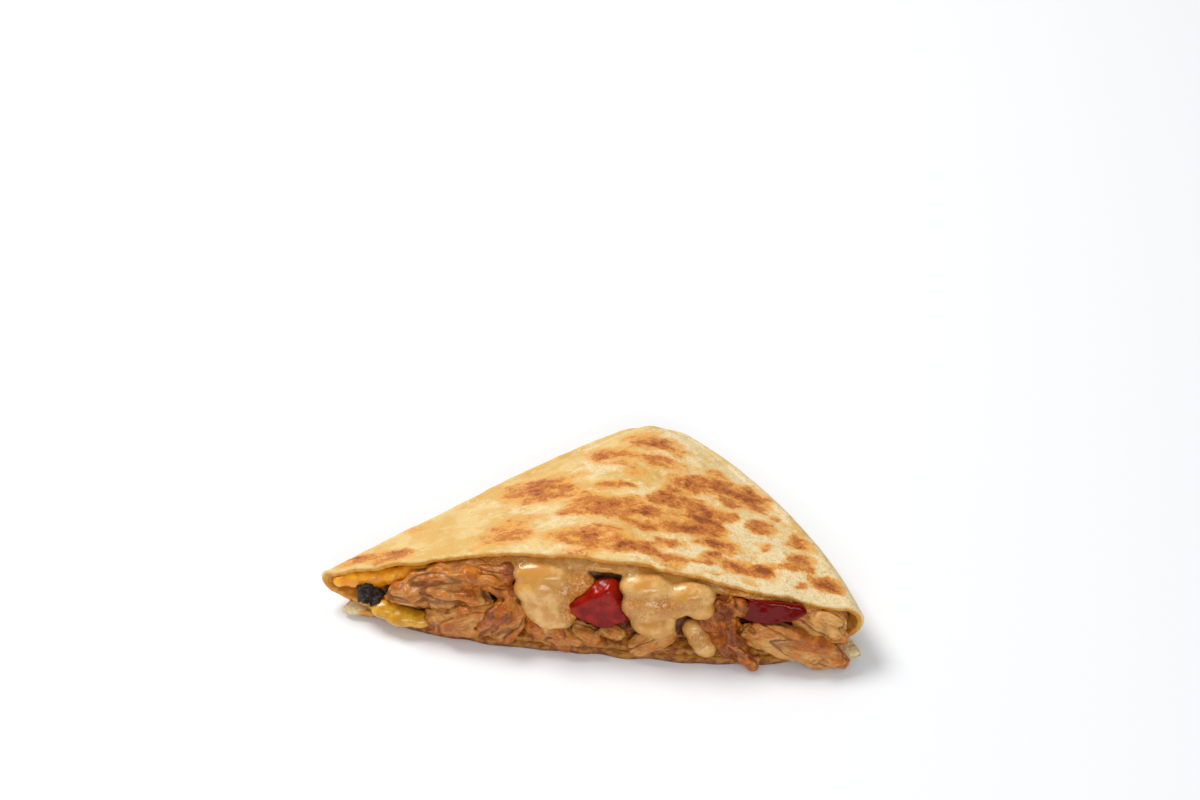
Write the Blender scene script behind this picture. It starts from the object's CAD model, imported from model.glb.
import math
import random

import bmesh
import bpy
from mathutils import Matrix, Vector, noise


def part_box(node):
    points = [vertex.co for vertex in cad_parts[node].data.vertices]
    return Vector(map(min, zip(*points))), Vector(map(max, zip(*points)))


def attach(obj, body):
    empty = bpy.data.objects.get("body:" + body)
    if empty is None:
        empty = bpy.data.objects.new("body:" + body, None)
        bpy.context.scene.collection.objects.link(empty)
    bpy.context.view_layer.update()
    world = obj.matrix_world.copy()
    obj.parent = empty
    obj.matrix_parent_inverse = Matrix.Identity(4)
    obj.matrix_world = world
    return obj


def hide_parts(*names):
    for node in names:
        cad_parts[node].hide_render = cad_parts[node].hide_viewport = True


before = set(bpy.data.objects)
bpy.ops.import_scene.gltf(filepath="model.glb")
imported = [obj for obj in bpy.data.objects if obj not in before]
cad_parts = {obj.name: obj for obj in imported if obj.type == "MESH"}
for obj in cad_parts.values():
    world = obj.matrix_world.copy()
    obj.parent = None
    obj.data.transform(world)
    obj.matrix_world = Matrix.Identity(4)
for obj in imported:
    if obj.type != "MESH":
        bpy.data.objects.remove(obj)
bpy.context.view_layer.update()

MM = 0.001

# ------------------------------------------------------------------------------------------------
# The tortilla pocket. One wheat flour tortilla, griddled until it blistered, folded over the
# filling and cut on the diagonal. Its long cut side is open, its other two sides are folds.
# ------------------------------------------------------------------------------------------------

# Sizes of the folded sheet, in millimetres, measured from the middle of the cut on the table.
SHEET = 2.2
CUT_HALF = (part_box("tortilla")[1][0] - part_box("tortilla")[0][0]) / 2 / MM
LIP_FORWARD = 8.0
CUT_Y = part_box("tortilla")[0][1] / MM + LIP_FORWARD
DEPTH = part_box("tortilla")[1][1] / MM - CUT_Y
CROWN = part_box("tortilla")[1][2] / MM + 0.3
CROWN_AT = 0.44
FLOOR = SHEET + 0.35
CORNER_X, CORNER_ROUND, RIGHT_BOW = 10.0, 14.0, 5.5
FOLD_LEFT, FOLD_RIGHT, FOLD_CORNER = 4.2, 6.6, 5.4
END_BACK, END_LIFT = 3.0, 3.2
TOP_SLUMP = 1.2

# A section of the pocket runs over the top, round the right fold, back along the floor and round
# the left fold. These are the shares of the way round where each run starts, and two runs' lengths.
RIGHT_FOLD_AT, FLOOR_AT, LEFT_FOLD_AT = 0.5, 0.58, 0.92
FOLD_RUN, FLOOR_RUN = 0.08, 0.34


def outline(t):
    """x of the left and right fold at share t of the depth, in millimetres."""
    back = (1 - t) * DEPTH
    sides = []
    for length in (CUT_HALF + CORNER_X, CUT_HALF - CORNER_X):
        slope = math.sqrt(length**2 - 2 * CORNER_ROUND * DEPTH) / DEPTH
        sides.append(math.sqrt((slope * back) ** 2 + 2 * CORNER_ROUND * back))
    return CORNER_X - sides[0], CORNER_X + sides[1] + RIGHT_BOW * 4 * t * (1 - t)


def settle(point, t):
    """The mouth's two ends are lifted and drawn back, and the back corner is rounded in height."""
    left, right = outline(t)
    share = min(1, abs(2 * point.x - left - right) / max(right - left, 1)) ** 4 * (1 - t)
    short = max(0, 1 - (1 - t) * DEPTH / FOLD_CORNER)
    middle = FLOOR + FOLD_CORNER
    z = middle + (point.z - middle) * math.sqrt(1 - short**2)
    return Vector((point.x, point.y + END_BACK * share, z + END_LIFT * share))


def section(u, t, inset=0.0):
    """A point at share u of the way round the section at share t of the depth, set in by inset."""
    left, right = outline(t)
    rounds = [a + (FOLD_CORNER - a) * t for a in (FOLD_LEFT, FOLD_RIGHT)]
    runs = [min(r, 0.35 * (right - left)) for r in rounds]
    a, b = left + runs[0], right - runs[1]
    if u < RIGHT_FOLD_AT:
        s = u / RIGHT_FOLD_AT
        away = (CROWN_AT - s) / CROWN_AT if s < CROWN_AT else (s - CROWN_AT) / (1 - CROWN_AT)
        hump = 1 - max(0, away) ** 1.8
        base = FLOOR + 2 * (rounds[0] + (rounds[1] - rounds[0]) * s)
        z = base + (CROWN - FLOOR - FOLD_LEFT - FOLD_RIGHT) * hump * (1 - t) ** 0.75 - inset
        return settle(Vector((a + (b - a) * s, t * DEPTH + 2 * hump * (1 - t), z)), t)
    if FLOOR_AT < u < LEFT_FOLD_AT:
        s = (u - FLOOR_AT) / FLOOR_RUN
        forward = LIP_FORWARD * (1 - abs(2 * s - 1) ** 4) * (1 - t)
        return settle(Vector((b + (a - b) * s, t * DEPTH - forward, FLOOR + inset)), t)
    side = 1 if u <= FLOOR_AT else 0
    if side:
        turn = 1 - 2 * (u - RIGHT_FOLD_AT) / FOLD_RUN
    else:
        turn = 2 * (u - LEFT_FOLD_AT) / FOLD_RUN - 1
    angle = turn * math.pi / 2
    out = runs[side] * (1 - inset / rounds[side]) * math.cos(angle) * (1 if side else -1)
    z = FLOOR + rounds[side] + (rounds[side] - inset) * math.sin(angle)
    return settle(Vector(((a, b)[side] + out, t * DEPTH, z)), t)


# Where the sheet browned on the griddle: across and back from the middle of the cut, half its
# length and half its width, all in millimetres, and how dark it went. Its golden rim reaches
# SPOT_REACH times as far.
SPOT_REACH = 1.68
BROWNED = [
    (-71, 7, 4.0, 3.0, 0.85), (-60, 7, 6.0, 4.2, 0.8), (-20, 38, 9.5, 7.5, 0.9),
    (-2, 57, 6.0, 4.5, 0.75), (11, 66, 7.0, 4.5, 0.85), (3, 39, 6.0, 2.0, 0.8),
    (-4, 33, 4.0, 2.2, 0.55), (2, 27, 9.5, 5.5, 0.9), (15, 28, 5.0, 3.4, 0.8),
    (25, 46, 7.0, 4.6, 0.9), (14, 55, 8.0, 3.2, 0.8), (22, 36, 6.5, 3.4, 0.9),
    (30, 31, 6.5, 5.0, 1.0), (27, 23, 6.0, 3.4, 0.9), (-26, 12, 6.5, 5.5, 0.75),
    (-21, 21, 6.5, 2.2, 0.45), (1, 11, 9.5, 5.6, 0.85), (13, 19, 4.0, 2.0, 0.8),
    (14, 9, 6.0, 2.8, 0.85), (23, 6, 5.0, 2.4, 0.75), (22, 14, 4.5, 2.2, 0.7),
    (37, 18, 5.0, 3.4, 1.0), (34, 11, 3.2, 2.0, 0.9), (42, 46, 6.5, 5.6, 0.9),
    (48, 31, 3.6, 3.4, 0.9), (43, 9, 4.2, 3.0, 0.95), (51, 10, 3.6, 2.8, 1.0),
    (59, 28, 3.8, 3.2, 0.85), (60, 18, 4.2, 3.6, 1.0), (69, 11, 4.6, 3.2, 1.0),
    (61, 7, 1.8, 1.4, 0.8), (-12, 9, 4.0, 3.4, 0.45), (-53, 23, 5.0, 2.4, 0.5),
    (25, 2, 4.0, 1.4, 0.6), (38, 34, 3.0, 2.4, 0.8), (-34, 6, 2.2, 1.8, 0.5),
    (-44, 18, 5.0, 2.0, 0.35), (-5, 2, 5.0, 1.4, 0.5), (8, 47, 4.5, 2.0, 0.6),
    (32, 54, 4.5, 3.2, 0.7), (8, 22, 2.2, 1.3, 0.7), (19, 21, 4.5, 2.2, 0.75),
    (35, 25, 3.0, 2.0, 0.8), (37, 41, 2.6, 2.2, 0.7), (18, 41, 3.0, 1.8, 0.7),
    (10, 33, 2.6, 1.5, 0.65), (31, 17, 2.4, 1.5, 0.7), (30, 8, 2.2, 1.3, 0.7),
    (20, 62, 3.0, 2.0, 0.7), (4, 51, 3.0, 1.6, 0.55), (50, 38, 2.2, 2.0, 0.6),
    (49, 22, 2.2, 1.6, 0.6), (55, 14, 1.6, 1.2, 0.6), (-10, 24, 3.0, 1.6, 0.5),
    (-7, 46, 3.0, 1.8, 0.5), (-32, 28, 4.0, 1.8, 0.4), (17, 35, 3.4, 1.8, 0.7),
    (34, 48, 3.0, 2.2, 0.7), (36, 4, 2.4, 1.0, 0.6), (47, 4, 2.0, 1.0, 0.5),
]


def browning(x, y, spots):
    """How far the sheet browned at a point, from 0 to 1: ragged spots whose rims run together."""
    coarse, fine, apart = Vector((x, y, 3)) / 5.0, Vector((x, y, 3)) / 2.2, Vector((9, 0, 0))
    x += 2.2 * noise.noise(coarse) + 1.3 * noise.noise(fine)
    y += 1.8 * noise.noise(coarse + apart) + 1.0 * noise.noise(fine + apart)
    left_pale = 1.0
    for cx, cy, rx, ry, strength in spots:
        away = math.hypot((x - cx) / rx, (y - cy) / ry) / SPOT_REACH
        if away < 1:
            left_pale *= 1 - strength * (1 - away * away)
    return 1 - left_pale


def swell(point, seed, parts):
    """Bumps for a soft surface: the sum of soft noises, each a wavelength and a height."""
    return sum(height * noise.noise(Vector((point.x / wave, point.y / wave, point.z / wave + seed)))
               for wave, height in parts)


def finish_mesh(name, bm, material, slot, *nodes):
    """Scales a mesh from millimetres behind the cut to metres in its place, and puts it on."""
    for vert in bm.verts:
        vert.co = Vector((vert.co.x, vert.co.y + CUT_Y, vert.co.z)) * MM
    bmesh.ops.recalc_face_normals(bm, faces=bm.faces)
    mesh = bpy.data.meshes.new(name)
    bm.to_mesh(mesh)
    bm.free()
    mesh.shade_smooth()
    mesh.materials.append(material)
    piece = bpy.data.objects.new(name, mesh)
    bpy.context.scene.collection.objects.link(piece)
    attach(piece, "root")
    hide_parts(*nodes)


class Wire:
    """A socket of a finish. Sums on it add Math nodes, and add() puts in any other node."""

    def __init__(self, tree, socket=None):
        self.tree, self.socket = tree, socket

    def add(self, kind, settings=(), inputs=(), output=0):
        node = self.tree.nodes.new("ShaderNode" + kind)
        for name, value in dict(settings).items():
            setattr(node, name, value)
        for name, value in dict(inputs).items():
            if isinstance(value, Wire):
                self.tree.links.new(value.socket, node.inputs[name])
            else:
                node.inputs[name].default_value = value
        return Wire(self.tree, node.outputs[output])

    def math(self, operation, a, b):
        return self.add("Math", {"operation": operation}, {0: a, 1: b})

    def __add__(self, other):
        return self.math("ADD", self, other)

    __radd__ = __add__

    def __sub__(self, other):
        return self.math("SUBTRACT", self, other)

    def __rsub__(self, other):
        return self.math("SUBTRACT", other, self)

    def __mul__(self, other):
        return self.math("MULTIPLY", self, other)

    def step(self, low, high):
        """0 below low, 1 above high, and smooth between."""
        ends = {0: self, 1: low, 2: high}
        return self.add("MapRange", {"interpolation_type": "SMOOTHSTEP"}, ends)

    def blend(self, share, a, b):
        """Colour a turning into colour b."""
        a, b = [c if isinstance(c, Wire) else (*c, 1) for c in (a, b)]
        return self.add("Mix", {"data_type": "RGBA"}, {0: share, 6: a, 7: b}, 2)

    def grain(self, where, size, stretch=(1, 1, 1), detail=3, rough=0.55):
        """Soft noise whose features are size millimetres across, longer along a stretched axis."""
        scale = [1000.0 / size / s for s in stretch]
        spot = self.add("VectorMath", {"operation": "MULTIPLY"}, {0: where, 1: scale})
        inputs = {"Vector": spot, "Scale": 1.0, "Detail": detail, "Roughness": rough}
        return self.add("TexNoise", {}, inputs)


def food_finish(name, **constants):
    """A material with its fixed values. Gives it, a Wire to build with, its shader and place."""
    material = bpy.data.materials.new(name)
    material.use_nodes = True
    tree = material.node_tree
    shader = tree.nodes["Principled BSDF"]
    for socket, value in constants.items():
        shader.inputs[socket.replace("_", " ")].default_value = value
    wire = Wire(tree)
    return material, wire, shader, wire.add("TexCoord", output=3)


def connect(wire, shader, colour, roughness, bump, depth_mm):
    """Joins the varying colour, roughness and bump height to the shader."""
    height = wire.add("Bump", {}, {"Height": bump, "Strength": 1.0, "Distance": depth_mm * MM})
    for value, socket in ((colour, "Base Color"), (roughness, "Roughness"), (height, "Normal")):
        wire.tree.links.new(value.socket, shader.inputs[socket])


# The sheet's outside is floury cream. It turned gold and then brown where it blistered, and its cut
# edge and inside are soaked with orange fat.
flour_sheet, wire, shader, place = food_finish(
    "tortilla_sheet", Subsurface_Weight=0.10, Subsurface_Radius=(1.0, 0.5, 0.2),
    Subsurface_Scale=0.001, Specular_IOR_Level=0.35,
)
toast = wire.add("Attribute", {"attribute_name": "toast"}, output=2)
inside = wire.add("Attribute", {"attribute_name": "inside"}, output=2)
floury = wire.add("Attribute", {"attribute_name": "floury"}, output=2)
cloud = wire.grain(place, 9.0, detail=3)
mottle = wire.grain(place, 2.4, detail=4, rough=0.62)
clump = wire.grain(place, 3.4, stretch=(1.6, 1.0, 1.0), detail=4, rough=0.6)
speck = wire.grain(place, 0.8, detail=3, rough=0.7)
crease = wire.grain(place, 1.6, stretch=(5.0, 1.3, 1.3), detail=3)
colour = wire.blend(cloud.step(0.38, 0.62), (0.72, 0.43, 0.115), (0.78, 0.55, 0.22))
dusty = (floury + (mottle - 0.5) * 2.2 + (speck - 0.5) * 1.6).step(0.35, 0.70)
colour = wire.blend(dusty * 0.88, colour, (0.83, 0.67, 0.39))
colour = wire.blend(speck.step(0.55, 0.63) * (0.35 + floury * 0.4), colour, (0.60, 0.34, 0.09))
crack = crease.step(0.62, 0.74) * mottle.step(0.46, 0.60)
colour = wire.blend(crack * 0.65, colour, (0.46, 0.27, 0.07))
halo = (toast + (mottle - 0.5) * 0.5 + (clump - 0.5) * 0.4).step(0.12, 0.62)
colour = wire.blend(halo * 0.92, colour, (0.77, 0.36, 0.065))
browned = toast + (clump - 0.5) * 1.5 + (speck - 0.5) * 0.8 + (mottle - 0.5) * 0.6
brown = browned.step(0.46, 0.80) * toast.step(0.08, 0.35)
colour = wire.blend(brown * 0.92, colour, (0.54, 0.16, 0.025))
scorched = browned.step(0.80, 1.08) * toast.step(0.3, 0.6)
colour = wire.blend(scorched * 0.9, colour, (0.28, 0.065, 0.012))
greased = wire.blend(mottle.step(0.4, 0.62), (0.62, 0.23, 0.018), (0.72, 0.36, 0.06))
soaked = wire.blend(mottle.step(0.4, 0.6), (0.24, 0.06, 0.008), (0.46, 0.19, 0.03))
greased = wire.blend(inside.step(0.7, 1.0), greased, soaked)
greased = wire.blend(speck.step(0.6, 0.75) * 0.4, greased, (0.40, 0.13, 0.02))
colour = wire.blend(inside.step(0.2, 0.5), colour, greased)
connect(wire, shader, colour, 0.60 - halo * 0.12 - inside * 0.3,
        mottle * 0.6 + clump * 0.8 + speck * 0.4 - crack * 0.2 - toast * speck * 0.3, 0.7)

# The rings of the pocket: out over the rounded cut edge, back to the corner, and in again. Each has
# its share of the depth, how far through the sheet it lies, and how far it is drawn back.
OUTER_ROWS, INNER_ROWS, ACROSS = 104, 30, 380
rows = [(0.0, 0.5, -0.25), (0.0, 0.25, -0.2), (0.0, 0.08, 0.02), (0.0, 0.0, 0.45)]
for i in range(1, OUTER_ROWS + 1):
    share = i / OUTER_ROWS
    eased = share if share < 0.85 else 1 - (1 - share) ** 1.6 / 0.15**0.6
    rows.append((0.01 + 0.99 * eased, 0.0, 0.0))
tip_row = len(rows) - 1
for i in range(INNER_ROWS, 0, -1):
    rows.append((0.9 * i / INNER_ROWS, 1 + 0.45 * min(1, 12 * i / INNER_ROWS), 0.0))
rows += [(0.0, 1.0, 0.45), (0.0, 0.92, 0.02), (0.0, 0.75, -0.2), (0.0, 0.5, -0.25)]

pocket = bmesh.new()
toast_layer = pocket.verts.layers.float.new("toast")
inside_layer = pocket.verts.layers.float.new("inside")
floury_layer = pocket.verts.layers.float.new("floury")
bmesh.ops.create_grid(pocket, x_segments=ACROSS, y_segments=len(rows) - 1, size=1)
row_of = {vert: round((vert.co.y + 1) / 2 * (len(rows) - 1)) for vert in pocket.verts}
behind_corner = [face for face in pocket.faces
                 if {row_of[vert] for vert in face.verts} == {tip_row, tip_row + 1}]
bmesh.ops.delete(pocket, geom=behind_corner, context="FACES_ONLY")

# The underside lay flat on the griddle, so it browned all over in round spots.
UNDER_SPOTS = 60
chance = random.Random(5)
UNDER_BROWNED = [
    (chance.uniform(-75, 78), chance.uniform(-4, 76), *[chance.uniform(2.5, 7.5)] * 2,
     chance.uniform(0.5, 0.95))
    for _ in range(UNDER_SPOTS)
]
for vert, row in row_of.items():
    u = ((vert.co.x + 1) / 2) % 1.0
    t, inset, forward = rows[row]
    point = section(u, t, inset * SHEET) + Vector((0, forward, 0))
    outer = row <= tip_row
    on_top = 1 - min(1, max(0, u - RIGHT_FOLD_AT) / FOLD_RUN, max(0, 1 - u) / FOLD_RUN)
    toasted = 0.0
    if outer:
        toasted = (on_top * browning(point.x, point.y, BROWNED)
                   + (1 - on_top) * browning(point.x, point.y, UNDER_BROWNED))
    vert[toast_layer] = toasted
    if outer:
        floor_share = min(1, max(0, min(u - 0.55, 0.95 - u) / 0.05))
        edge = max(0.0, 1 - row / 3.0) * 0.55
        vert[inside_layer] = edge + (max(0.0, 1 - t / 0.05) - edge) * floor_share
    elif 0.60 < u < 0.90:
        vert[inside_layer] = 1.0 if point.x > -50 else 0.62
    else:
        vert[inside_layer] = min(1.0, 0.5 + 6 * t)
    vert[floury_layer] = min(1, max(0, 0.42 + point.x / 140 + 0.7 * noise.noise(point / 13)))
    rise = swell(point, 2, ((34, 0.9), (13, 0.6), (5.5, 0.34), (2.4, 0.14))) - TOP_SLUMP * t
    if outer:
        rise += 0.45 * toasted * min(1, row / 8) * (0.5 + noise.noise(point * 0.55))
    lip = max(0.0, 1 - abs(point.y - 1.0) / 6.0)
    waver = lip * (noise.noise(Vector((point.x / 9, 4, 1)))
                   + 0.5 * noise.noise(Vector((point.x / 3.2, 8, 1))))
    vert.co = point + Vector((0, waver, rise * on_top - 0.2 * abs(rise) * (1 - on_top)))
bmesh.ops.remove_doubles(pocket, verts=pocket.verts, dist=0.01)
finish_mesh("tortilla_pocket", pocket, flour_sheet, "tortilla", "tortilla")

# ------------------------------------------------------------------------------------------------
# The flap. The sheet's last fold is tucked under the pocket and carries the whole wedge. It shows
# as a thin greasy layer below the cut, and its pale corners curl out beyond both ends.
# ------------------------------------------------------------------------------------------------

# How far back the fold reaches, as a share of the depth, and how its two corners droop.
FLAP_REACH, FLAP_ACROSS, FLAP_ROWS = 0.72, 220, 86
CORNER_CURL = Vector((0, -4.2, -0.9))
flap = bmesh.new()
toast_layer = flap.verts.layers.float.new("toast")
inside_layer = flap.verts.layers.float.new("inside")
floury_layer = flap.verts.layers.float.new("floury")
bmesh.ops.create_grid(flap, x_segments=FLAP_ACROSS, y_segments=FLAP_ROWS, size=1)
for vert in flap.verts:
    s, t = (vert.co.x + 1) / 2, (vert.co.y + 1) / 2 * FLAP_REACH
    left, right = outline(t)
    fade = min(1, t / 0.12)
    tuck = 5.0 + 9.0 * max(0, t - 0.3) ** 1.5 / 0.27
    left = (left + 7.2) * (1 - fade) + (left + tuck) * fade
    right = (right - 0.5) * (1 - fade) + (right - tuck) * fade
    forward = (LIP_FORWARD + 0.5) * (1 - abs(2 * s - 1) ** 4) * (1 - t)
    point = settle(Vector((left + (right - left) * s, t * DEPTH - forward, FLOOR - 0.35)), t)
    ear = min(1, max(0, abs(2 * s - 1) - 0.86) / 0.12) * (1 - fade)
    point += CORNER_CURL * ear
    point.z += 0.3 * noise.noise(point / 7)
    point.y += 0.8 * noise.noise(Vector((point.x / 8, 3, 5))) * (1 - fade)
    vert[toast_layer] = browning(point.x, point.y, UNDER_BROWNED) * (1 - ear)
    vert[inside_layer] = max(0, 1 - t / 0.035) * (1 - ear)
    vert[floury_layer] = 0.45 + 0.7 * noise.noise(point / 13) + ear
    vert.co = point
flap.normal_update()
bmesh.ops.solidify(flap, geom=flap.faces, thickness=SHEET - 0.1)
for vert in flap.verts:
    vert.co.z = max(vert.co.z, 0.02)
finish_mesh("tortilla_under_flap", flap, flour_sheet, "tortilla", "under_flap")

# ------------------------------------------------------------------------------------------------
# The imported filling. Chopped chicken and melted cheese fill the pocket behind the cut. It is moist
# and dark between the pieces that stand out in front of it.
# ------------------------------------------------------------------------------------------------

packed_finish, wire, shader, place = food_finish(
    "packed_filling", Specular_IOR_Level=0.5, Coat_Weight=0.25, Coat_Roughness=0.25,
)
lumps = wire.grain(place, 4.5, detail=4, rough=0.6)
speck = wire.grain(place, 1.1, detail=3, rough=0.7)
colour = wire.blend(lumps.step(0.38, 0.62), (0.15, 0.035, 0.008), (0.40, 0.14, 0.03))
colour = wire.blend(speck.step(0.56, 0.7) * 0.6, colour, (0.48, 0.22, 0.06))
connect(wire, shader, colour, 0.5 - speck * 0.2, lumps * 0.7 + speck * 0.5, 0.7)

# It stands clear of the sheet by SET_IN less the sheet's own thickness, and starts behind the cut.
SET_IN, STARTS_AT, REACHES = 3.0, 0.035, 0.865
FACE_ROWS, CORE_ROWS, CORE_ACROSS = 10, 46, 200
packed = bmesh.new()
bmesh.ops.create_grid(packed, x_segments=CORE_ACROSS, y_segments=CORE_ROWS + FACE_ROWS, size=1)
for vert in packed.verts:
    row = round((vert.co.y + 1) / 2 * (CORE_ROWS + FACE_ROWS))
    u = ((vert.co.x + 1) / 2) % 1.0
    t = STARTS_AT + REACHES * max(0, row - FACE_ROWS) / CORE_ROWS
    point = section(u, t, SET_IN)
    if row < FACE_ROWS:
        point = point.lerp(Vector((point.x * 0.95, 1.0, 11)), 1 - row / FACE_ROWS)
    vert.co = point
bmesh.ops.remove_doubles(packed, verts=packed.verts, dist=0.05)
bmesh.ops.holes_fill(packed, edges=[e for e in packed.edges if e.is_boundary], sides=0)
bmesh.ops.recalc_face_normals(packed, faces=packed.faces)
packed.normal_update()
for vert in packed.verts:
    lumpy = swell(vert.co, 5, ((9, 2.0), (3.5, 1.1), (1.6, 0.4)))
    vert.co += vert.normal * min(0.4, lumpy - 0.6)
finish_mesh("packed_filling", packed, packed_finish, "filling", "filling")

# ------------------------------------------------------------------------------------------------
# Pulled chicken. Each piece is a bundle of muscle fibres torn along its grain, rubbed with an
# orange spice mix that browned on its raised edges. The cut left them hanging over the flap.
# ------------------------------------------------------------------------------------------------

chicken_finish, wire, shader, place = food_finish(
    "pulled_chicken", Subsurface_Weight=0.12, Subsurface_Radius=(1.0, 0.35, 0.15),
    Subsurface_Scale=0.001, Specular_IOR_Level=0.3, Coat_Weight=0.22, Coat_Roughness=0.2,
)
along = wire.add("Attribute", {"attribute_name": "fibre"}, output=1)
season = wire.add("Attribute", {"attribute_name": "season"}, output=2)
dip = wire.add("Attribute", {"attribute_name": "dip"}, output=2)
fibres = wire.grain(along, 0.6, stretch=(7, 1.0, 1.0), detail=3, rough=0.6)
bands = wire.grain(along, 2.4, stretch=(3.0, 1.0, 1.0), detail=4, rough=0.65)
rub = wire.grain(place, 2.2, detail=5, rough=0.68)
pepper = wire.grain(place, 0.6, detail=2, rough=0.5)
colour = wire.blend(bands.step(0.38, 0.62), (0.47, 0.155, 0.02), (0.68, 0.35, 0.09))
colour = wire.blend(fibres.step(0.52, 0.68) * 0.5, colour, (0.80, 0.47, 0.17))
spiced = (season + (rub - 0.5) * 1.6 + (bands - 0.5) * 0.4).step(0.12, 0.62)
rubbed = wire.blend(rub.step(0.42, 0.66), (0.36, 0.068, 0.004), (0.70, 0.225, 0.015))
colour = wire.blend(spiced * 0.9, colour, rubbed)
colour = wire.blend(fibres.step(0.44, 0.34) * 0.5, colour, (0.32, 0.085, 0.01))
sunken = (dip + (fibres - 0.5) * 0.5).step(0.06, 0.7)
colour = wire.blend(sunken * 0.75, colour, (0.19, 0.045, 0.007))
seared = (season + (bands - 0.5) * 1.6 + (rub - 0.5) * 2.2).step(0.95, 1.25)
charred = wire.blend(fibres.step(0.4, 0.6), (0.12, 0.022, 0.006), (0.24, 0.055, 0.010))
colour = wire.blend(seared * 0.8, colour, charred)
colour = wire.blend(pepper.step(0.67, 0.73) * 0.7, colour, (0.13, 0.03, 0.01))
connect(wire, shader, colour, 0.46 - rub * 0.25, fibres * 0.55 + bands * 0.6 + rub * 0.6, 0.5)


BLUNT, ABOVE_TABLE = 0.72, 0.25


def strand(bm, start, end, width, thick, bend=(0, 0, 0)):
    """One bundle of fibres from start to end: a blunt bar, bent in its middle. Gives its frame."""
    start, end, bend = Vector(start), Vector(end), Vector(bend)
    along = (end - start).normalized()
    side = along.cross(Vector((0.12, 1, 0.25))).normalized()
    turned = Matrix((along, side, along.cross(side))).transposed()
    made = bmesh.ops.create_uvsphere(bm, u_segments=20, v_segments=14, radius=1)["verts"]
    for vert in made:
        x, y, z = (math.copysign(abs(c) ** BLUNT, c) for c in vert.co)
        local = Vector((x * (end - start).length / 2, y * width / 2, z * thick / 2))
        vert.co = (start + end) / 2 + turned @ local + bend * (1 - x * x)
    half = (end - start).length / 2
    return (start + end) / 2, turned.inverted(), half, width / 2, thick / 2, bend


def remeshed(bm, voxel, smooth):
    """The closed shells of bm as one skin with even faces."""
    mesh = bpy.data.meshes.new("shells")
    bm.to_mesh(mesh)
    bm.free()
    holder = bpy.data.objects.new("shells", mesh)
    bpy.context.scene.collection.objects.link(holder)
    skin = holder.modifiers.new("skin", "REMESH")
    skin.mode, skin.voxel_size = "VOXEL", voxel
    shown = holder.evaluated_get(bpy.context.evaluated_depsgraph_get())
    made = bpy.data.meshes.new_from_object(shown)
    bpy.data.objects.remove(holder)
    out = bmesh.new()
    out.from_mesh(made)
    for _ in range(smooth):
        bmesh.ops.smooth_vert(out, verts=out.verts, factor=0.5,
                              use_axis_x=True, use_axis_y=True, use_axis_z=True)
    out.normal_update()
    return out


def felt(point, spots):
    """How strongly round spots are felt at a point. A spot is x, y, z, a radius and an amount."""
    return sum(amount * max(0, 1 - (point - Vector((x, y, z))).length / radius)
               for x, y, z, radius, amount in spots)


def pulled_chicken(name, node, strands, season, seared, seed, lumpy=1.0):
    """A piece of chicken from its strands, with torn fibres and the spice rub's strength on it."""
    bm = bmesh.new()
    bundles = [strand(bm, *shape) for shape in strands]
    bm = remeshed(bm, 0.42, 4)
    fibre = bm.verts.layers.float_vector.new("fibre")
    rub = bm.verts.layers.float.new("season")
    dip = bm.verts.layers.float.new("dip")
    moves = []
    for vert in bm.verts:
        shift, weight, reach = Vector(), 0.0, 0.0
        for centre, turn, half, wide, thick, bend in bundles:
            local = turn @ (vert.co - centre)
            x = max(-1, min(1, local.x / half))
            local -= (turn @ bend) * (1 - x * x)
            away = max(abs(x) - 0.8, 0) * 3 + math.hypot(local.y / wide, local.z / thick)
            share = math.exp(-7 * away)
            shift += share * local
            reach += share * abs(x)
            weight += share
        shift, reach = shift / weight + Vector((31, 17, 11)) * seed, reach / weight
        vert[fibre] = shift * MM
        ridges = noise.noise(Vector((shift.x / 6, shift.y / 1.1, shift.z / 1.1)))
        bands = noise.noise(Vector((shift.x / 10, shift.y / 3.0, shift.z / 3.0)))
        lumps = noise.noise(vert.co / 5.0 + Vector((seed, 0, 0)))
        rough = noise.noise(vert.co / 1.7 + Vector((0, seed, 0)))
        seam = noise.noise(Vector((shift.x / 15, shift.y / 5.2, shift.z / 5.2 + seed)))
        crack = max(0, 0.09 - abs(seam)) / 0.09
        height = 0.16 * ridges + 0.7 * bands + lumpy * (1.5 * lumps + 0.45 * rough) - 0.6 * crack
        torn = max(0, reach - 0.72)
        height += torn * 2.4 * ridges
        moves.append((vert, vert.normal * height))
        vert[dip] = max(0, 0.6 * crack - 0.6 * height - 0.05)
        vert[rub] = season + 0.45 * max(0, height) + 0.2 * lumps + felt(vert.co, seared)
    for vert, move in moves:
        vert.co += move
        vert.co.z = max(vert.co.z, ABOVE_TABLE)
    finish_mesh(name, bm, chicken_finish, "chicken", node)


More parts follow.
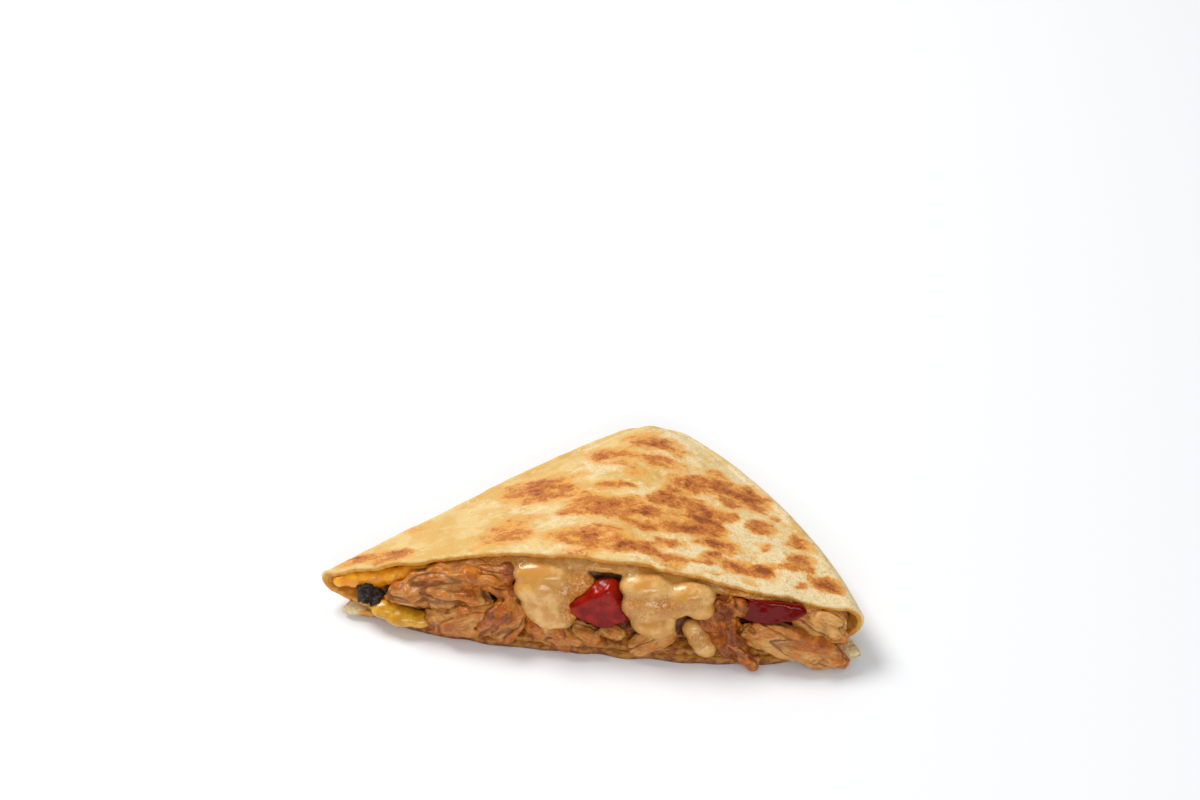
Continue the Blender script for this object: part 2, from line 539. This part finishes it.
pulled_chicken(
    "pulled_slab", "chicken_slab",
    [
        ((-60.5, -1.4, 9.8), (-37, -2.8, 14.5), 8.5, 7.5, (0, 0, 1.0)),
        ((-55, -0.2, 14.0), (-27, -0.4, 18.6), 8.0, 7.0, (0, 0, 2.6)),
        ((-48, -3.2, 12.0), (-28, -3.4, 14.4), 6.5, 6.5, (0, 0, 0.6)),
        ((-47, 0.0, 18.2), (-24, -1.6, 19.6), 5.0, 5.0, (0, -0.5, 2.2)),
        ((-46, 3.0, 18), (-27, 3.5, 22), 7, 6, (0, 0, 1.0)),
    ],
    season=0.02,
    seared=(
        (-60, -3, 12, 8, 0.45), (-48, -3, 20, 9, 0.55), (-34, -3, 22, 9, 0.6),
        (-26, -3, 19, 6, 0.5),
    ),
    seed=1.3,
)
pulled_chicken(
    "pulled_fold", "chicken_fold",
    [
        ((-48.5, -5.0, 4.8), (-27, -4.2, 10.6), 9.5, 8.5, (0, 0, 0.5)),
        ((-42, -5.6, 7.6), (-26, -5.0, 11.6), 6.0, 6.0, (0, 0, 1.5)),
        ((-46, -6.4, 3.6), (-31, -6.8, 5.0), 6.0, 5.0),
    ],
    season=0.12, seared=((-48, -7, 3, 6.5, 1.2), (-33, -5, 13, 5, 0.5), (-40, -8, 2, 5, 0.4)),
    seed=2.1,
)
pulled_chicken(
    "pulled_tail", "chicken_tail",
    [
        ((-21, -2.0, 17.2), (-31.5, -7.4, 3.4), 7.0, 6.0, (1.5, -0.5, 1.0)),
        ((-22, -3.5, 12), (-25.5, -8.0, 2.8), 8.5, 6.0, (1, 0, 0)),
        ((-20.5, -3.0, 15.5), (-21.0, -6.8, 6.0), 5.5, 5.0, (0.8, 0, 0)),
        ((-31, -1.4, 19.0), (-22, -2.2, 16.0), 5.0, 5.0),
    ],
    season=0.32, seared=((-31, -8, 3, 6, 0.25), (-21, -8, 4, 4, 0.5), (-26, -3, 19, 6, 0.35)),
    seed=3.7, lumpy=1.3,
)
pulled_chicken(
    "pulled_crown", "chicken_crown",
    [
        ((-34, 1.2, 21.5), (-22, 0.2, 19.0), 6.0, 5.5, (1.5, 0, 1.2)),
        ((-27, 2.0, 23.0), (-19, 0.8, 20.5), 5.0, 5.0),
    ],
    season=0.5, seared=((-22, 0, 21, 5, 0.9),), seed=4.2,
)
pulled_chicken(
    "pulled_slant", "chicken_slant",
    [
        ((-19, -4.0, 9.6), (-2.5, -8.4, 2.2), 6.5, 5.5, (-1.5, 0, -0.8)),
        ((-14, -6.0, 8.0), (1.5, -8.2, 2.4), 5.5, 5.0, (0, 0, 1.2)),
        ((-6, -6.5, 5.5), (2.0, -7.0, 2.6), 4.5, 4.5),
    ],
    season=0.3, seared=((-8, -8, 1.5, 4.5, 0.9), (-0.5, -9, 1.5, 4, 0.8), (-18, -5, 9, 4, 0.4)),
    seed=5.4, lumpy=1.3,
)
pulled_chicken(
    "pulled_pale", "chicken_pale",
    [
        ((-5.5, -4.6, 7.2), (3.5, -6.4, 4.8), 5.5, 5.0),
        ((3, -3.4, 7.0), (11.5, -4.6, 5.0), 5.0, 4.5), ((-2, -2.5, 4.6), (14, -3.2, 3.8), 4.5, 4.5),
    ],
    season=-0.1, seared=((9, -4, 3, 6, 0.9), (13, -3, 4, 5, 0.6)), seed=6.2,
)
pulled_chicken(
    "pulled_finger", "chicken_finger",
    [((26.0, -3.8, 8.8), (12.6, -8.0, 2.6), 7.0, 5.5, (0, 0, 0.3))], season=0.0,
    seared=((11.5, -9, 2, 5, 0.5),), seed=7.7, lumpy=0.6,
)
pulled_chicken(
    "pulled_spiced", "chicken_red",
    [
        ((36, 0.4, 20.0), (42, -3.4, 9.0), 9.0, 6.5, (0, 0, 1)),
        ((39, -2.6, 14.0), (46, -4.0, 5.2), 8.0, 6.5),
        ((41, -0.4, 20.6), (44.5, -1.6, 15.8), 5.5, 5.0),
        ((32, -2.2, 14), (38, -3.2, 9.0), 6.5, 5.0), ((37, -4.2, 8.4), (43.5, -5.0, 4.2), 6.5, 5.0),
    ],
    season=0.75, seared=((40, -4, 18.5, 4.5, 0.6), (42, -6, 10, 4, 0.3), (36, -4, 8, 3, 0.3)),
    seed=8.8, lumpy=1.9,
)
pulled_chicken(
    "pulled_charred", "chicken_charred",
    [
        ((40, -4.8, 7.0), (49.5, -7.8, 2.2), 6.5, 5.5, (0, 0, 0.6)),
        ((45, -6.2, 4.4), (51, -8.4, 2.2), 5.0, 4.5),
    ],
    season=0.42, seared=((46.0, -8, 5, 4.5, 1.0),), seed=9.6, lumpy=1.4,
)
pulled_chicken(
    "pulled_long", "chicken_long",
    [
        ((44.5, -3.4, 11.0), (69, -5.2, 3.4), 7.5, 6.5, (0, 0, 0.4)),
        ((48, -2.6, 13.0), (76, -3.6, 4.8), 7.5, 6.5, (0, 0, 0.8)),
        ((64, -5.2, 3.6), (77, -4.6, 3.0), 5.5, 5.0),
    ],
    season=-0.12,
    seared=(
        (58, -4, 12, 6, 0.8), (64, -4, 10.5, 6, 1.3), (70, -4, 8.5, 5, 1.3), (76, -5, 3, 6, 0.75),
        (48, -3, 14, 6, 0.4),
    ),
    seed=10.9, lumpy=0.7,
)
pulled_chicken(
    "pulled_corner", "chicken_corner",
    [
        ((59, -0.2, 15.0), (75.5, -1.2, 8.0), 8.0, 6.0, (0, 0, 0.8)),
        ((63, 1.5, 15.0), (75.5, 1.5, 11.5), 7, 5.5, (0, 0, 1.0)),
    ],
    season=-0.1, seared=((62, -2, 17, 5, 0.5), (76, -2, 8, 5, 0.6)), seed=11.5, lumpy=0.7,
)

# ------------------------------------------------------------------------------------------------
# Melted white cheese. A layer between the top of the tortilla and the chicken, which ran down over
# the cut in three thick drips while it was hot. It is glossy, with flecks of spice in it.
# ------------------------------------------------------------------------------------------------

white_cheese, wire, shader, place = food_finish(
    "melted_white_cheese", Subsurface_Weight=0.4, Subsurface_Radius=(1.0, 0.6, 0.25),
    Subsurface_Scale=0.0025, Specular_IOR_Level=0.35, Coat_Weight=0.6, Coat_Roughness=0.13,
)
oiled = wire.add("Attribute", {"attribute_name": "season"}, output=2)
cloud = wire.grain(place, 5.0, detail=3)
speck = wire.grain(place, 0.9, detail=3, rough=0.7)
fleck = wire.grain(place, 0.8, detail=1, rough=0.4)
colour = wire.blend(cloud.step(0.4, 0.65), (0.62, 0.285, 0.05), (0.78, 0.47, 0.16))
golden = (oiled + (speck - 0.5) + (cloud - 0.5) * 0.7).step(0.30, 0.75)
oily = wire.blend(speck.step(0.42, 0.62), (0.56, 0.16, 0.015), (0.80, 0.37, 0.07))
colour = wire.blend(golden * 0.85, colour, oily)
colour = wire.blend(fleck.step(0.76, 0.81) * 0.8, colour, (0.24, 0.08, 0.02))
connect(wire, shader, colour, 0.33 + golden * 0.1, cloud * 0.4 + speck * golden * 1.3, 0.45)


def melted(name, node, blobs, finish, slot, seed, oil=(), voxel=0.55, smooth=6, ripple=0.35):
    """Runny cheese: rounds that flowed together into one skin, with its oily places on it."""
    bm = bmesh.new()
    for x, y, z, rx, ry, rz in blobs:
        made = bmesh.ops.create_uvsphere(bm, u_segments=20, v_segments=14, radius=1)["verts"]
        for vert in made:
            vert.co = Vector((x + vert.co.x * rx, y + vert.co.y * ry, z + vert.co.z * rz))
    bm = remeshed(bm, voxel, smooth)
    oiled = bm.verts.layers.float.new("season")
    for vert in bm.verts:
        rough = noise.noise(vert.co / 4.5 + Vector((seed, 0, 0)))
        fine = noise.noise(vert.co / 1.3 + Vector((seed, 5, 0)))
        strength = felt(vert.co, oil)
        sunken = min(1, max(0, (vert.co.y + 2.6) / 3.5)) + max(0, -vert.normal.z)
        vert[oiled] = strength + 0.32 * sunken
        vert.co += vert.normal * (ripple * rough + 0.22 * fine * min(1, strength * 1.5))
        vert.co.z = max(vert.co.z, ABOVE_TABLE)
    finish_mesh(name, bm, finish, slot, node)


def under_top(x, t):
    """Height of the underside of the top sheet at x millimetres and share t of the depth."""
    left, right = outline(t)
    s = (x - left - FOLD_LEFT) / (right - FOLD_RIGHT - left - FOLD_LEFT)
    return section(min(0.499, max(0, s / 2)), t, SHEET).z - TOP_SLUMP * t


# The rounds that flowed together: where each lies across, back and up, and its three half sizes.
layer = [(x, 5.0, under_top(x, 0.05) - 1.9, 5.5, 4.2, 1.9) for x in range(-40, 44, 4)]
layer += [(x, 3.4, under_top(x, 0) - 1.0, 5.0, 3.8, 1.1) for x in range(44, 70, 4)]
for t in (0.13, 0.25, 0.37, 0.49):
    left, right = outline(t)
    layer += [(x, t * DEPTH, under_top(x, t) - 2.6, 7, 7, 1.9)
              for x in range(int(left + 22), int(right - 20), 8)]
drip_left = [
    (-13.5, 0.4, 23.0, 9.5, 4.6, 3.8), (-14, -1.6, 18.6, 8.2, 5.2, 5.6),
    (-12.5, -3.0, 13.6, 7.8, 5.0, 5.6), (-10.5, -4.2, 9.8, 6.8, 4.4, 4.2),
    (-6.5, -2.2, 12.5, 4.5, 4.4, 4.2), (-3.5, 0.2, 20.5, 6.0, 3.6, 4.4),
    (-8.0, -1.6, 17.5, 5.0, 4.4, 4.6),
]
drip_middle = [
    (17, -0.4, 22.0, 8.5, 4.8, 4.6), (17.5, -2.4, 16.5, 8.2, 5.0, 6.0),
    (19.5, -4.0, 11.6, 6.8, 4.6, 4.8), (20.5, -4.2, 10.0, 5.8, 4.2, 3.8),
    (25.0, -1.6, 17.5, 5.5, 4.4, 4.6),
]
drip_right = [(30, -0.8, 20.8, 7.5, 4.6, 4.4), (33.0, -1.8, 17.8, 4.6, 4.2, 4.4)]
melted(
    "melted_cheese", "cheese", layer + drip_left + drip_middle + drip_right, white_cheese, "cheese",
    oil=(
        (-2, -3, 19, 10, 1.2), (-5, -5, 13, 6, 0.8), (-21, -2, 16, 6, 0.5), (15, -4, 19, 9, 0.8),
        (24, -4, 19, 6, 0.9), (31, -4, 21, 7, 0.6), (44, -2, 21, 9, 0.9), (58, -1, 20, 14, 0.5),
        (-30, -1, 24, 12, 1.0), (-40, 0, 20, 10, 1.0), (66, 0, 18, 9, 0.8),
    ),
    seed=2.0,
)

# ------------------------------------------------------------------------------------------------
# Melted cheddar. Yellow-orange cheese in the left end: a smear under the top sheet and a pool at
# the mouth. A bead of it that mixed with the white cheese, and so is paler, lies further right.
# ------------------------------------------------------------------------------------------------

cheddar, wire, shader, place = food_finish(
    "melted_cheddar", Subsurface_Weight=0.3, Subsurface_Radius=(1.0, 0.5, 0.1),
    Subsurface_Scale=0.002, Specular_IOR_Level=0.45, Coat_Weight=0.5, Coat_Roughness=0.15,
)
cloud = wire.grain(place, 3.0, detail=3)
speck = wire.grain(place, 0.9, detail=3, rough=0.7)
oiled = wire.add("Attribute", {"attribute_name": "season"}, output=2)
colour = wire.blend(cloud.step(0.4, 0.62), (0.56, 0.25, 0.008), (0.72, 0.38, 0.018))
bright = wire.blend(cloud.step(0.4, 0.62), (0.82, 0.28, 0.004), (0.95, 0.42, 0.008))
colour = wire.blend(oiled, colour, bright)
colour = wire.blend(speck.step(0.6, 0.72) * 0.5, colour, (0.38, 0.12, 0.012))
connect(wire, shader, colour, 0.22 + speck * 0.2, cloud * 0.6 + speck * 0.4, 0.3)

melted(
    "cheddar_smear", "cheddar_lining",
    [
        (-74.2, 1.7, 10.7, 2.6, 1.8, 2.0), (-70.4, 2.6, 11.2, 4.2, 2.4, 2.9),
        (-65, 2.6, 12.0, 5.5, 2.6, 3.4), (-59, 2.8, 13.6, 6.0, 2.6, 3.2),
        (-52, 3.2, 15.8, 6.5, 2.6, 2.8), (-46, 3.6, 17.6, 6.0, 2.6, 2.2),
    ],
    cheddar, "cheddar", oil=((-66, 2, 12, 120, 1.0),), voxel=0.42, smooth=9, seed=3.0, ripple=0.3,
)
melted(
    "cheddar_puddle", "cheddar_pool",
    [
        (-60, -3.6, 6.2, 4.8, 3.4, 3.0), (-55, -5.0, 5.2, 6.2, 3.6, 2.9),
        (-50, -5.2, 5.0, 4.2, 3.2, 2.4), (-63, -1.5, 6.6, 3.2, 3.0, 2.2),
    ],
    cheddar, "cheddar", voxel=0.45, smooth=5, seed=4.0, ripple=0.3,
)
melted(
    "cheddar_drop", "cheddar_bead",
    [
        (35.0, -5.8, 4.9, 3.6, 3.2, 3.3), (33.0, -4.4, 7.2, 3.6, 3.2, 3.4),
        (31.0, -3.2, 9.6, 3.4, 3.0, 3.2),
    ],
    white_cheese, "cheddar", oil=((33, -6, 8, 5, 0.8),), voxel=0.4, smooth=4, seed=5.0,
)

# ------------------------------------------------------------------------------------------------
# Tomato. A diced block, all cut flesh, squeezed out between the two big drips of cheese, and a thin
# slice lying flat on the right with its darker skin facing out.
# ------------------------------------------------------------------------------------------------

tomato_flesh, wire, shader, place = food_finish(
    "cut_tomato", Subsurface_Weight=0.12, Subsurface_Radius=(1.0, 0.08, 0.03),
    Subsurface_Scale=0.0015, Specular_IOR_Level=0.15, Coat_Weight=0.2, Coat_Roughness=0.08,
)
skin = wire.add("Attribute", {"attribute_name": "season"}, output=2)
cloud = wire.grain(place, 4.0, detail=3)
threads = wire.grain(place, 0.9, stretch=(1, 1, 5), detail=3)
colour = wire.blend(cloud.step(0.35, 0.65), (0.19, 0.002, 0.001), (0.35, 0.009, 0.002))
colour = wire.blend(threads.step(0.55, 0.72) * 0.3, colour, (0.45, 0.04, 0.008))
colour = wire.blend(skin, colour, (0.15, 0.002, 0.001))
connect(wire, shader, colour, 0.16 + threads * 0.12, cloud * 0.5 + threads * 0.4, 0.25)


def tomato_piece(name, node, corners, skin_above, round_mm, seed):
    """A cut block of tomato: the hull of its corners with soft edges, skin above a height."""
    bm = bmesh.new()
    for corner in corners:
        bm.verts.new(corner)
    hull = bmesh.ops.convex_hull(bm, input=bm.verts)
    inner = {item for item in hull["geom_interior"] if isinstance(item, bmesh.types.BMVert)}
    bmesh.ops.delete(bm, geom=list(inner), context="VERTS")
    bmesh.ops.dissolve_limit(bm, angle_limit=math.radians(4), verts=bm.verts, edges=bm.edges)
    bmesh.ops.bevel(bm, geom=bm.edges, affect="EDGES", offset=round_mm, segments=3,
                    profile=0.5, material=-1)
    bm = remeshed(bm, 0.38, 1)
    skin = bm.verts.layers.float.new("season")
    for vert in bm.verts:
        soft = noise.noise(vert.co / 5 + Vector((seed, 0, 0)))
        fine = noise.noise(vert.co / 1.6 + Vector((seed, 0, 3)))
        vert[skin] = min(1, max(0, (vert.co.z - skin_above) / 1.5))
        vert.co += vert.normal * (0.35 * soft + 0.10 * fine)
    finish_mesh(name, bm, tomato_flesh, "tomato", node)


NO_SKIN = 50.0
tomato_piece(
    "tomato_dice", "tomato_middle",
    [
        (-6.0, -6.2, 16.4), (2.9, 0.4, 23.6), (8.2, 0.4, 24.8), (6.3, -5.0, 23.6),
        (12.2, -5.2, 12.0), (4.6, -6.8, 8.4), (-2.5, -6.4, 12.4), (12.4, 2.0, 12.0), (-4, 2, 14),
        (5, 3, 9),
    ],
    skin_above=NO_SKIN, round_mm=0.8, seed=1.0,
)
tomato_piece(
    "tomato_slice", "tomato_right",
    [
        (43.6, -2.8, 14.6), (49, -3.8, 14.2), (54.5, -4.2, 14.8), (60, -3.6, 16.4),
        (64.4, -1.8, 18.8), (47.4, -1.4, 21.8), (56, -1.4, 21.6), (62, -1.0, 20.8), (46, 6, 17),
        (62, 6, 17),
    ],
    skin_above=12.0, round_mm=0.6, seed=2.0,
)

# ------------------------------------------------------------------------------------------------
# A burnt crumb. A bit of charred onion or pepper on the sheet by the left end, black and brittle:
# four crumbs stuck together.
# ------------------------------------------------------------------------------------------------

burnt, wire, shader, place = food_finish("burnt_crumb", Specular_IOR_Level=0.6)
crust = wire.grain(place, 0.9, detail=4, rough=0.7)
colour = wire.blend(crust.step(0.45, 0.7), (0.010, 0.007, 0.007), (0.10, 0.035, 0.015))
connect(wire, shader, colour, 0.55 - crust * 0.35, crust, 0.8)

CRUMBS = (
    (-66.2, -0.8, 9.2, 2.9), (-64.0, -1.4, 8.0, 2.6),
    (-65.4, 0.2, 10.2, 2.2), (-63.0, -1.0, 9.4, 1.8),
)
crumbs = bmesh.new()
for *middle, size in CRUMBS:
    middle = Vector(middle)
    for vert in bmesh.ops.create_icosphere(crumbs, subdivisions=3, radius=size)["verts"]:
        vert.co = middle + vert.co * (1 + 0.3 * noise.noise(vert.co + middle))
crumbs = remeshed(crumbs, 0.3, 1)
for vert in crumbs.verts:
    rough = 0.9 * noise.noise(vert.co / 1.4) + 0.4 * noise.noise(vert.co / 0.6)
    vert.co += vert.normal * rough
finish_mesh("burnt_crumb", crumbs, burnt, "char", "charred_bit")

# ------------------------------------------------------------------------------------------------
# The studio: a seamless white table, two large soft lamps, and the camera above the cut side.
# ------------------------------------------------------------------------------------------------

paper, wire, shader, place = food_finish("white_table", Specular_IOR_Level=0.2)
tooth = wire.grain(place, 3.0, detail=2)
colour = wire.blend(tooth, (0.86, 0.865, 0.88), (0.87, 0.875, 0.885))
connect(wire, shader, colour, 0.6 + tooth * 0.1, tooth, 0.02)
TABLE_HALF = 6.0
table = bmesh.new()
bmesh.ops.create_grid(table, x_segments=8, y_segments=8, size=TABLE_HALF)
table_mesh = bpy.data.meshes.new("table")
table.to_mesh(table_mesh)
table.free()
table_mesh.materials.append(paper)
table_top = bpy.data.objects.new("table", table_mesh)
bpy.context.scene.collection.objects.link(table_top)


def soft_lamp(name, place, aim, size, watts, colour=(1, 1, 1)):
    """A round soft lamp in metres, turned to what it lights."""
    lamp = bpy.data.lights.new(name, "AREA")
    lamp.shape, lamp.size, lamp.size_y = "ELLIPSE", *size
    lamp.energy, lamp.color = watts, colour
    holder = bpy.data.objects.new(name, lamp)
    holder.location = place
    holder.rotation_euler = (Vector(aim) - Vector(place)).to_track_quat("-Z", "Y").to_euler()
    bpy.context.scene.collection.objects.link(holder)


soft_lamp("key", (-0.55, 0.35, 0.95), (0, 0, 0), (0.6, 0.45), 10.4, (1.0, 0.985, 0.96))
soft_lamp("front", (0.25, -0.95, 0.55), (0, 0, 0.02), (0.7, 0.35), 3.6)
world = bpy.data.worlds.new("studio")
world.use_nodes = True
sky = world.node_tree.nodes["Background"]
sky.inputs["Color"].default_value = (0.94, 0.97, 1.0, 1)
sky.inputs["Strength"].default_value = 0.50
bpy.context.scene.world = world
world.cycles_visibility.glossy = False
bpy.context.scene.view_settings.view_transform = "Standard"

# The camera looks down 43 degrees from a metre away, a little to the right of square to the cut.
AZIMUTH, PITCH, AWAY = math.radians(7.2), math.radians(43), 1.0
aim = Vector((-4.0, 56.9 + CUT_Y, 41.2)) * MM
towards = Vector((
    math.sin(AZIMUTH) * math.cos(PITCH), -math.cos(AZIMUTH) * math.cos(PITCH), math.sin(PITCH),
))
lens = bpy.data.cameras.new("camera")
lens.lens, lens.sensor_width = 100, 36
camera = bpy.data.objects.new("camera", lens)
camera.location = aim + towards * AWAY
camera.rotation_euler = (-towards).to_track_quat("-Z", "Y").to_euler()
bpy.context.scene.collection.objects.link(camera)
bpy.context.scene.camera = camera
